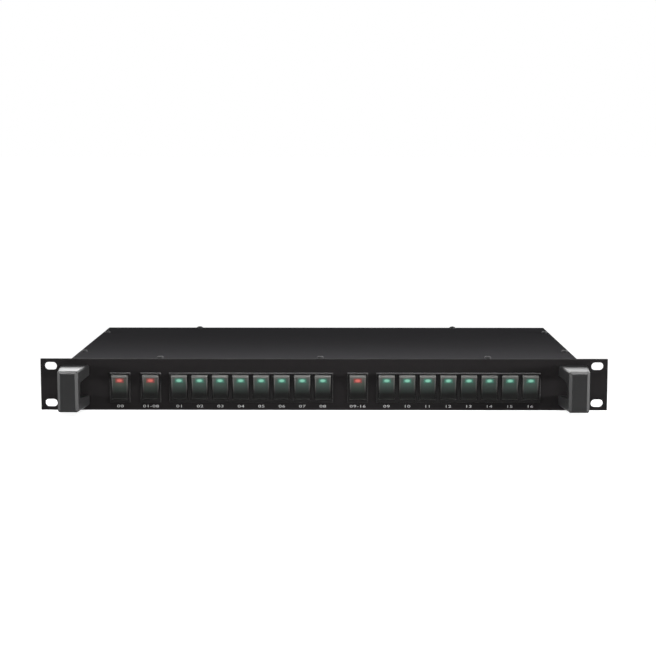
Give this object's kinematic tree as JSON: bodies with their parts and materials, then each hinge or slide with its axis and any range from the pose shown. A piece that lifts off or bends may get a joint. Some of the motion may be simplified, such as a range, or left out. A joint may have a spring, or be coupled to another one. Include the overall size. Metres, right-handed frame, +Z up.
{
  "type": "rack selector panel",
  "caption": "Low rack-width box with a slotted black front panel, bow handles and rows of sprung push buttons with lit windows in raised bezels; connectors and a mains inlet at the rear.",
  "frame": {"origin": "centre of the bounding box's underside, on the plane that the base plate stands on", "axes": "+X to the right along the front panel as its user sees it, +Y from the front panel to the rear, +Z up"},
  "size_m": [0.4826, 0.2812, 0.0455],
  "materials": {
    "black_metal": "fine satin black, baked",
    "box_paint": "satin black, baked, slightly rough",
    "handle_black": "satin black",
    "black_trim": "satin moulded trim",
    "cap_black": "smooth moulded cap",
    "window_red": "dull red lens lit from behind",
    "window_green": "pale green lens lit from behind",
    "module_black": "moulded switch body",
    "bright_screw": "zinc plated",
    "spacer_brass": "nickel plated brass",
    "board_green": "solder mask on glass laminate",
    "relay_case": "moulded relay case",
    "connector_steel": "tin plated steel",
    "inlet_black": "moulded black",
    "transformer_case": "potting case",
    "cable_grey": "grey flat cable with dark plugs"
  },
  "bodies": {
    "unit": {"front_panel": "black_metal", "group_bezels": "black_trim", "handle_left": "handle_black", "handle_right": "handle_black", "handle_screws": "bright_screw", "top_cover": "box_paint", "side_left": "box_paint", "side_right": "box_paint", "base_plate": "box_paint", "rear_panel": "box_paint", "front_rail": "box_paint", "button_board": "board_green", "switch_modules": "module_black", "board_spacers": "spacer_brass", "pan_screws": "bright_screw", "relay_board": "board_green", "relays": "relay_case", "link_connectors": "connector_steel", "connector_posts": "connector_steel", "mains_inlet": "inlet_black", "power_transformer": "transformer_case", "ribbon_cable": "cable_grey"},
    "key_all": {"button_all": "cap_black", "window_all": "window_red"},
    "key_group_1": {"button_group_1": "cap_black", "window_group_1": "window_red"},
    "key_group_2": {"button_group_2": "cap_black", "window_group_2": "window_red"},
    "key_channel_1": {"button_channel_1": "cap_black", "window_channel_1": "window_green"},
    "key_channel_2": {"button_channel_2": "cap_black", "window_channel_2": "window_green"},
    "key_channel_3": {"button_channel_3": "cap_black", "window_channel_3": "window_green"},
    "key_channel_4": {"button_channel_4": "cap_black", "window_channel_4": "window_green"},
    "key_channel_5": {"button_channel_5": "cap_black", "window_channel_5": "window_green"},
    "key_channel_6": {"button_channel_6": "cap_black", "window_channel_6": "window_green"},
    "key_channel_7": {"button_channel_7": "cap_black", "window_channel_7": "window_green"},
    "key_channel_8": {"button_channel_8": "cap_black", "window_channel_8": "window_green"},
    "key_channel_9": {"button_channel_9": "cap_black", "window_channel_9": "window_green"},
    "key_channel_10": {"button_channel_10": "cap_black", "window_channel_10": "window_green"},
    "key_channel_11": {"button_channel_11": "cap_black", "window_channel_11": "window_green"},
    "key_channel_12": {"button_channel_12": "cap_black", "window_channel_12": "window_green"},
    "key_channel_13": {"button_channel_13": "cap_black", "window_channel_13": "window_green"},
    "key_channel_14": {"button_channel_14": "cap_black", "window_channel_14": "window_green"},
    "key_channel_15": {"button_channel_15": "cap_black", "window_channel_15": "window_green"},
    "key_channel_16": {"button_channel_16": "cap_black", "window_channel_16": "window_green"}
  },
  "joints": [
    {"name": "press_all", "type": "slide", "parent": "unit", "child": "key_all", "axis": [0, 1, 0], "range_m": [0, 0.0025], "stiffness_N_per_m": 500},
    {"name": "press_group_1", "type": "slide", "parent": "unit", "child": "key_group_1", "axis": [0, 1, 0], "range_m": [0, 0.0025], "stiffness_N_per_m": 500},
    {"name": "press_group_2", "type": "slide", "parent": "unit", "child": "key_group_2", "axis": [0, 1, 0], "range_m": [0, 0.0025], "stiffness_N_per_m": 500},
    {"name": "press_channel_1", "type": "slide", "parent": "unit", "child": "key_channel_1", "axis": [0, 1, 0], "range_m": [0, 0.0025], "stiffness_N_per_m": 500},
    {"name": "press_channel_2", "type": "slide", "parent": "unit", "child": "key_channel_2", "axis": [0, 1, 0], "range_m": [0, 0.0025], "stiffness_N_per_m": 500},
    {"name": "press_channel_3", "type": "slide", "parent": "unit", "child": "key_channel_3", "axis": [0, 1, 0], "range_m": [0, 0.0025], "stiffness_N_per_m": 500},
    {"name": "press_channel_4", "type": "slide", "parent": "unit", "child": "key_channel_4", "axis": [0, 1, 0], "range_m": [0, 0.0025], "stiffness_N_per_m": 500},
    {"name": "press_channel_5", "type": "slide", "parent": "unit", "child": "key_channel_5", "axis": [0, 1, 0], "range_m": [0, 0.0025], "stiffness_N_per_m": 500},
    {"name": "press_channel_6", "type": "slide", "parent": "unit", "child": "key_channel_6", "axis": [0, 1, 0], "range_m": [0, 0.0025], "stiffness_N_per_m": 500},
    {"name": "press_channel_7", "type": "slide", "parent": "unit", "child": "key_channel_7", "axis": [0, 1, 0], "range_m": [0, 0.0025], "stiffness_N_per_m": 500},
    {"name": "press_channel_8", "type": "slide", "parent": "unit", "child": "key_channel_8", "axis": [0, 1, 0], "range_m": [0, 0.0025], "stiffness_N_per_m": 500},
    {"name": "press_channel_9", "type": "slide", "parent": "unit", "child": "key_channel_9", "axis": [0, 1, 0], "range_m": [0, 0.0025], "stiffness_N_per_m": 500},
    {"name": "press_channel_10", "type": "slide", "parent": "unit", "child": "key_channel_10", "axis": [0, 1, 0], "range_m": [0, 0.0025], "stiffness_N_per_m": 500},
    {"name": "press_channel_11", "type": "slide", "parent": "unit", "child": "key_channel_11", "axis": [0, 1, 0], "range_m": [0, 0.0025], "stiffness_N_per_m": 500},
    {"name": "press_channel_12", "type": "slide", "parent": "unit", "child": "key_channel_12", "axis": [0, 1, 0], "range_m": [0, 0.0025], "stiffness_N_per_m": 500},
    {"name": "press_channel_13", "type": "slide", "parent": "unit", "child": "key_channel_13", "axis": [0, 1, 0], "range_m": [0, 0.0025], "stiffness_N_per_m": 500},
    {"name": "press_channel_14", "type": "slide", "parent": "unit", "child": "key_channel_14", "axis": [0, 1, 0], "range_m": [0, 0.0025], "stiffness_N_per_m": 500},
    {"name": "press_channel_15", "type": "slide", "parent": "unit", "child": "key_channel_15", "axis": [0, 1, 0], "range_m": [0, 0.0025], "stiffness_N_per_m": 500},
    {"name": "press_channel_16", "type": "slide", "parent": "unit", "child": "key_channel_16", "axis": [0, 1, 0], "range_m": [0, 0.0025], "stiffness_N_per_m": 500}
  ]
}
